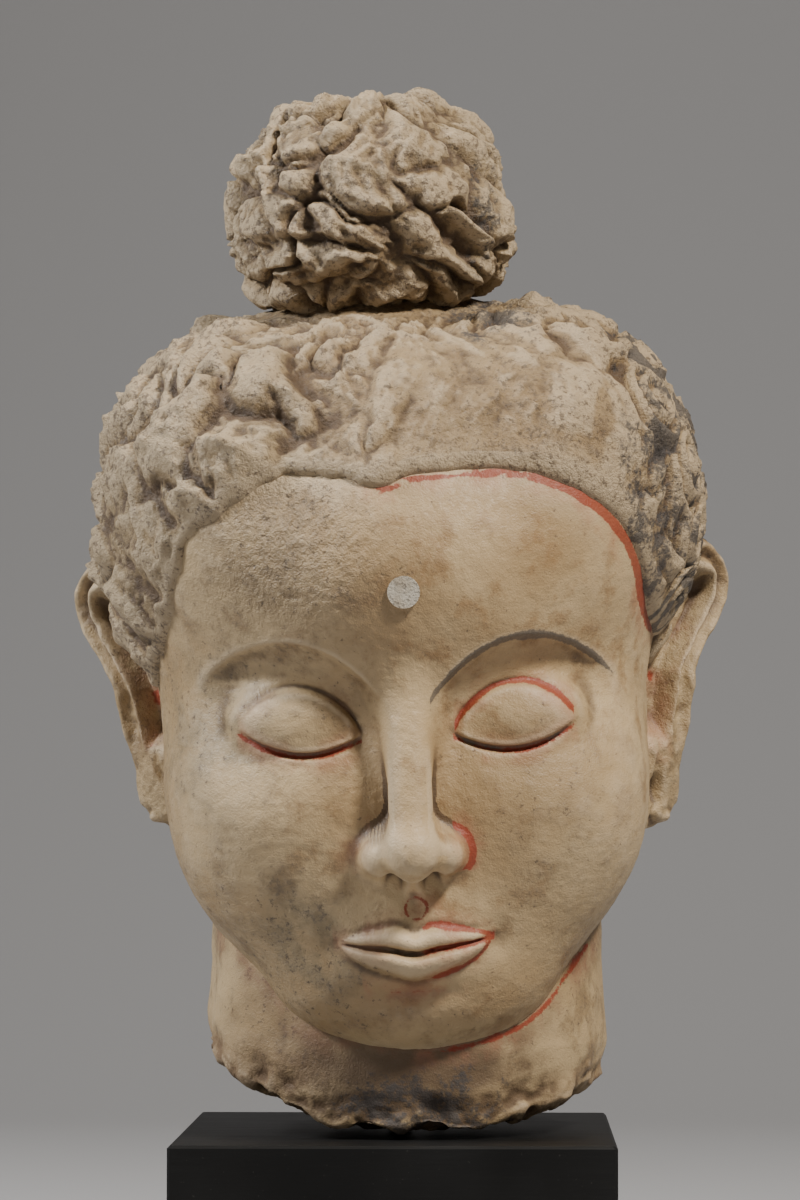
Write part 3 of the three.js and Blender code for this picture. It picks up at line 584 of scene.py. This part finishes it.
def neck_rings(levels, floors, cols):
    """Neck: an oval column that widens downwards, its lower edge chipped, then the broken underside drawn
    in from the edge to the middle. Upright, in millimetres over the lowest point of the break."""
    a = 2 * np.pi * np.arange(cols) / cols
    ragged = 1 + 0.006 * np.sin(5 * a + 1) + 0.008 * np.sin(9 * a)

    def outline(h):
        chip = np.where(h < 36, 6 * (1 - h / 36) * (0.4 + 0.6 * ramp(np.cos(a), 0.2, 0.9)), 0)
        wider = 1 - h / 100
        return (NECK_WIDE + 6 * wider) * ragged - chip, (NECK_DEEP + 4 * wider) * ragged - chip

    rx, ry = outline(0.0 * a)
    ex, ey = rx * np.cos(a), ry * np.sin(a)
    low = break_height(ex + NECK_X, ey + NECK_Y) + 2.5
    h = 150 + (low - 150) * (np.arange(levels + 1)[:, None] / levels) ** 0.8
    wx, wy = outline(h)
    wall = np.stack([wx * np.cos(a), wy * np.sin(a), h], -1)
    r = 1 - np.arange(1, floors)[:, None] / floors - 0.01
    x, y = ex * r, ey * r
    floor = np.stack([x, y, break_height(x + NECK_X, y + NECK_Y)], -1)
    p = np.concatenate([wall, floor]) + np.array([NECK_X, NECK_Y, 0])
    torn = np.concatenate([ramp(16 - (wall[..., 2] - low), 0, 14), np.ones(floor.shape[:2])])
    out = np.concatenate([np.stack([wall[..., 0] / NECK_WIDE, wall[..., 1] / NECK_DEEP, 0 * h], -1) / 1.05,
                          np.broadcast_to([0.0, 0, -1], floor.shape)])
    smooth = 0.9 * layered(p, 30, 3, 41)
    broken = 3.2 * layered(p, 15, 4, 44) - 1.6
    lift = smooth * (1 - torn) + broken * torn
    p = p + out * lift[..., None]
    p[..., 2] = np.maximum(p[..., 2], 0)
    return p, torn


def neck_marks(p, torn):
    """Red line, and dust with painted shade, where the jaw meets the neck, from the distance to the head's
    surface, a bare brown patch low on the left and a painted chin shadow, in part a dark stain, low in the
    middle."""
    over = p + np.array([0, 0, BREAK_AT])
    gap = np.full(p.shape[:2], 60.0)
    high = p[..., 2] > 20
    gap[high] = skull(unplace(over[high]))
    x, y = p[..., 0], p[..., 1]
    front = ramp(-y, -10, 20)
    red = nearness(gap - 1.5) * front * (0.45 + 0.5 * ramp(x, -20, 30))
    # Painted chin shadow, in part a dark stain, low in the middle of the neck's front.
    chin_shadow_and_stain = bell(x, 12, 54) * bell(p[..., 2] + 6 * noise(p, 20, 49), 8, 28) * front
    low = ramp(46 - p[..., 2] + 12 * noise(p, 16, 48), 0, 22)
    bare = 0.75 * ramp(-x + 10 * noise(p, 18, 47), 10, 60) * low
    # Dust, thicker in the jaw's crease as painted shade; the hollow and dark marks also carry painted shade
    # under the jaw and the painted chin shadow.
    return {"red": red, "dust_and_shade": np.clip(0.5 + 0.5 * bell(gap, 0, 9), 0, 1), "sandy": 0.5 * bare,
            "hollow": hollows(p) + 1.7 * chin_shadow_and_stain + 0.6 * bell(gap, 0, 12) * front,
            "pigment_and_shadow": 0.65 * chin_shadow_and_stain, "torn": np.maximum(torn * (1 - 0.7 * chin_shadow_and_stain), bare)}


# ---- finishes ----

class Number:
    """A socket of a finish, so that arithmetic on values can be written as it is read."""

    def __init__(self, finish, socket):
        self.finish, self.socket = finish, socket

    def sum(self, kind, a, b):
        return self.finish.node("ShaderNodeMath", {"operation": kind}, {0: a, 1: b})

    def __add__(self, other):
        return self.sum("ADD", self, other)

    __radd__ = __add__

    def __mul__(self, other):
        return self.sum("MULTIPLY", self, other)

    __rmul__ = __mul__

    def __sub__(self, other):
        return self.sum("SUBTRACT", self, other)

    def __rsub__(self, other):
        return self.sum("SUBTRACT", other, self)


class Finish:
    """A material built node by node on one Principled shader."""

    def __init__(self, name, **shader):
        self.material = bpy.data.materials.new(name)
        self.material.use_nodes = True
        self.tree = self.material.node_tree
        self.shader = next(n for n in self.tree.nodes if n.type == "BSDF_PRINCIPLED")
        self.point = self.node("ShaderNodeTexCoord", output="Object")
        for key, value in shader.items():
            self.feed(self.shader.inputs[key.replace("_", " ")], value)

    def feed(self, socket, value):
        if isinstance(value, Number):
            self.tree.links.new(value.socket, socket)
        else:
            socket.default_value = value

    def node(self, kind, settings=None, inputs=None, output=0):
        made = self.tree.nodes.new(kind)
        for key, value in (settings or {}).items():
            setattr(made, key, value)
        for key, value in (inputs or {}).items():
            self.feed(made.inputs[key], value)
        return Number(self, made.outputs[output])

    def noise(self, scale, detail=3.0, rough=0.55):
        return self.node("ShaderNodeTexNoise", None, {"Vector": self.point, "Scale": scale, "Detail": detail,
                                                      "Roughness": rough})

    def step(self, value, low, high):
        return self.node("ShaderNodeMapRange", {"interpolation_type": "SMOOTHSTEP"},
                         {"Value": value, "From Min": low, "From Max": high})

    def mark(self, name):
        return self.node("ShaderNodeAttribute", {"attribute_name": name}, output="Fac")

    def mix(self, share, a, b):
        colour = [v if isinstance(v, Number) else (*v, 1.0) for v in (a, b)]
        return self.node("ShaderNodeMix", {"data_type": "RGBA"}, {0: share, 6: colour[0], 7: colour[1]},
                         output=2)

    def bump(self, height, distance):
        return self.node("ShaderNodeBump", None, {"Height": height, "Distance": distance})


def stucco_finish():
    """Lime plaster: cream and buff clouds, ochre stains, grey dust, painted shade in the hollows, crests
    lighter from rubbing and painted highlight, pits, painted shadow under the chin and in the eyes' slits,
    and over them the paint that is left: red and grey brush lines and dark pigment on the curls."""
    f = Finish("stucco")
    clouds, mottle = f.noise(14, 4), f.noise(60, 5, 0.65)
    grain, speck, crust = f.noise(420, 3, 0.7), f.noise(1100, 2, 0.6), f.noise(150, 6, 0.72)
    hair, hollow, sandy = f.mark("hair"), f.mark("hollow"), f.mark("sandy")
    colour = f.mix(f.step(clouds, 0.38, 0.64), (0.48, 0.352, 0.196), (0.345, 0.232, 0.115))
    colour = f.mix(f.step(mottle, 0.48, 0.68) * 0.75, colour, (0.255, 0.145, 0.058))
    colour = f.mix(hair * (0.42 + 0.3 * f.step(mottle, 0.35, 0.65)), colour, (0.235, 0.165, 0.088))
    # Grey-brown dust; in the ear's hollow and the jaw's crease it is painted shade too.
    dust_and_shade = f.mark("dust_and_shade")
    colour = f.mix(dust_and_shade * (0.20 + 0.5 * f.step(mottle, 0.40, 0.62)), colour, (0.215, 0.175, 0.105))
    colour = f.mix(sandy * (0.35 + 0.45 * f.step(crust, 0.42, 0.58)), colour, (0.235, 0.165, 0.092))
    fleck = f.noise(330, 5, 0.75)
    colour = f.mix(dust_and_shade * f.step(fleck + 0.6 * mottle, 0.86, 1.0) * 0.7, colour, (0.105, 0.085, 0.065))
    colour = f.mix(f.step(speck + 0.4 * mottle, 0.86, 0.96) * 0.6, colour, (0.13, 0.095, 0.065))
    colour = f.mix(hair * f.step(crust, 0.50, 0.62) * 0.72, colour, (0.15, 0.100, 0.054))
    # Painted shade and grime in the hollows.
    deep = f.step(hollow + 0.8 * mottle - 0.4, 0.02, 1.2)
    colour = f.mix(deep * 0.88, colour, (0.085, 0.050, 0.026))
    # Raised parts lighter: rubbed wear and a painted highlight.
    colour = f.mix(f.step(hollow * -1.0 + 0.6 * mottle - 0.3, 0.1, 1.0) * 0.6, colour, (0.54, 0.425, 0.28))
    pores = f.step(fleck + 0.05 * (dust_and_shade + sandy) + 0.08 * hair + 0.25 * clouds, 0.76, 0.83)
    colour = f.mix(pores * 0.72, colour, (0.100, 0.068, 0.042))
    torn = f.mark("torn")
    colour = f.mix(torn * (0.45 + 0.5 * f.step(mottle, 0.4, 0.6)), colour, (0.165, 0.102, 0.054))
    # Dark pigment; on the neck this is a painted chin shadow.
    pigment_and_shadow = f.step(f.mark("pigment_and_shadow") + 1.5 * mottle + 0.9 * grain - 1.2, 0.42, 0.68)
    colour = f.mix(pigment_and_shadow * 0.82, colour, (0.050, 0.046, 0.046))
    # Grey brow lines, and painted shadow in the eyes' slits.
    grey = f.step(f.mark("grey") + 0.24 * grain + 0.40 * mottle, 1.10, 1.18)
    colour = f.mix(grey * 0.78, colour, (0.085, 0.075, 0.066))
    brushed = f.mark("red")
    colour = f.mix(brushed * f.step(mottle, 0.38, 0.62) * 0.6, colour, (0.40, 0.175, 0.095))
    red = f.step(brushed + 0.22 * grain + 0.42 * mottle, 1.12, 1.20)
    colour = f.mix(red * 0.85, colour, (0.24, 0.025, 0.006))
    f.feed(f.shader.inputs["Base Color"], colour)
    f.feed(f.shader.inputs["Roughness"], 0.47 - 0.06 * hair + 0.2 * f.step(grain, 0.3, 0.7) + 0.2 * torn)
    height = grain * (0.16 + 0.4 * hair) + speck * 0.15 + mottle * 0.5 + sandy * grain
    height = height + (0.10 + 1.9 * hair) * crust
    f.feed(f.shader.inputs["Normal"], f.bump(height, 0.0016))
    return f.material


def gypsum_finish():
    """White plaster plug with dark grit."""
    f = Finish("gypsum", Roughness=0.85)
    grit, cloud = f.noise(900, 2, 0.6), f.noise(160, 3)
    colour = f.mix(f.step(cloud, 0.4, 0.65), (0.46, 0.42, 0.35), (0.36, 0.31, 0.24))
    colour = f.mix(f.step(grit, 0.60, 0.68) * 0.8, colour, (0.13, 0.11, 0.09))
    f.feed(f.shader.inputs["Base Color"], colour)
    f.feed(f.shader.inputs["Normal"], f.bump(grit + cloud, 0.0006))
    return f.material


def steel_finish():
    """Darkened steel with fine streaks round the rod."""
    f = Finish("dark_steel", Metallic=1.0)
    streak = f.noise(300, 3)
    f.feed(f.shader.inputs["Base Color"], f.mix(streak, (0.035, 0.035, 0.037), (0.07, 0.07, 0.072)))
    f.feed(f.shader.inputs["Roughness"], 0.32 + 0.2 * streak)
    return f.material


def paint_finish():
    """Satin black paint on wood: faint long grain under the film, soft dust and a few paler rubs."""
    f = Finish("black_paint", Specular_IOR_Level=0.2)
    stretched = f.node("ShaderNodeMapping", None, {"Vector": f.point, "Scale": (1.0, 14.0, 14.0)})
    grain = f.node("ShaderNodeTexNoise", None, {"Vector": stretched, "Scale": 22.0, "Detail": 5.0})
    dust, speck = f.noise(9, 3), f.noise(700, 2)
    colour = f.mix(f.step(dust, 0.4, 0.7), (0.004, 0.004, 0.004), (0.009, 0.009, 0.009))
    colour = f.mix(f.step(speck, 0.70, 0.76) * 0.5, colour, (0.05, 0.048, 0.045))
    f.feed(f.shader.inputs["Base Color"], colour)
    f.feed(f.shader.inputs["Roughness"], 0.36 + 0.18 * dust + 0.08 * grain)
    f.feed(f.shader.inputs["Normal"], f.bump(grain, 0.0004))
    return f.material


stucco, gypsum, steel, paint = stucco_finish(), gypsum_finish(), steel_finish(), paint_finish()


# ---- building ----

points, sandy, facing = face_rings(*FACE_GRID)
shell("face", place(points), face_marks(points, sandy, facing), stucco, "buddha_head")

points = hair_rings(*HAIR_GRID)
shell("hair_cap", place(points), hair_marks(points), stucco, "buddha_head",
      end=place(CORE[None])[0])

points = bun_rings(*BUN_GRID)
shell("bun", place(points), bun_marks(points), stucco, "buddha_head")

for side, name in ((1, "ear_right"), (-1, "ear_left")):
    points, marks = ear_rings(side, *EAR_GRID)
    shell(name, place(points), marks, stucco, "buddha_head")

points, torn = neck_rings(*NECK_GRID)
shell("neck", (points + np.array([0, 0, BREAK_AT])) / 1000, neck_marks(points, torn), stucco,
      "buddha_head")

for name, finish in (("urna_dot", gypsum), ("mount_rod", steel), ("mount_block", paint)):
    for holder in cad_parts[name].material_slots:
        holder.material = finish


# ---- floor, light and camera ----

def studio():
    """Pale floor that sweeps up behind: a profile of floor, quarter round and wall carried along x."""
    t = np.linspace(0, np.pi / 2, 24)
    bend = np.stack([1.2 + 1.2 * np.sin(t), 1.2 - 1.2 * np.cos(t)], -1)
    profile = np.vstack([[-4.0, 0.0], bend, [2.4, 5.0]])
    n = len(profile)
    points = np.vstack([np.column_stack([np.full(n, x), profile]) for x in (-5.0, 5.0)])
    faces = [(i, n + i, n + i + 1, i + 1) for i in range(n - 1)]
    mesh = bpy.data.meshes.new("floor")
    mesh.from_pydata(points, [], faces)
    mesh.polygons.foreach_set("use_smooth", np.ones(len(faces), bool))
    f = Finish("floor_grey", Roughness=0.9)
    f.feed(f.shader.inputs["Base Color"], (0.36, 0.36, 0.37, 1.0))
    mesh.materials.append(f.material)
    floor = bpy.data.objects.new("floor", mesh)
    bpy.context.collection.objects.link(floor)


def soft_light(name, at, aim, size, power, tint=(1, 1, 1)):
    """Square soft light at a point, turned to its aim."""
    light = bpy.data.lights.new(name, "AREA")
    light.size, light.energy, light.color = size, power, tint
    lamp = bpy.data.objects.new(name, light)
    lamp.location = at
    lamp.rotation_euler = (Vector(aim) - Vector(at)).to_track_quat("-Z", "Y").to_euler()
    bpy.context.collection.objects.link(lamp)


studio()
soft_light("key", (0.95, -0.95, 1.75), (0, 0, 0.30), 0.25, 63, (1.0, 0.935, 0.84))
soft_light("fill", (-1.5, -1.2, 0.6), (0, 0, 0.28), 1.0, 2.6, (0.95, 0.97, 1.0))
soft_light("rim", (-1.1, -0.25, 1.2), (0, 0, 0.42), 0.28, 26)
world = bpy.data.worlds.new("studio_air")
world.use_nodes = True
world.node_tree.nodes["Background"].inputs[0].default_value = (0.8, 0.82, 0.86, 1)
world.node_tree.nodes["Background"].inputs[1].default_value = 0.035
bpy.context.scene.world = world

lens = bpy.data.cameras.new("camera")
lens.lens, lens.sensor_width = LENS, SENSOR
camera = bpy.data.objects.new("camera", lens)
camera.matrix_world = Matrix.Translation(CAMERA_AT) @ Matrix.Rotation(CAMERA_LEFT, 4, "Z") \
    @ Matrix.Rotation(math.radians(90) + CAMERA_UP, 4, "X")
bpy.context.collection.objects.link(camera)
bpy.context.scene.camera = camera
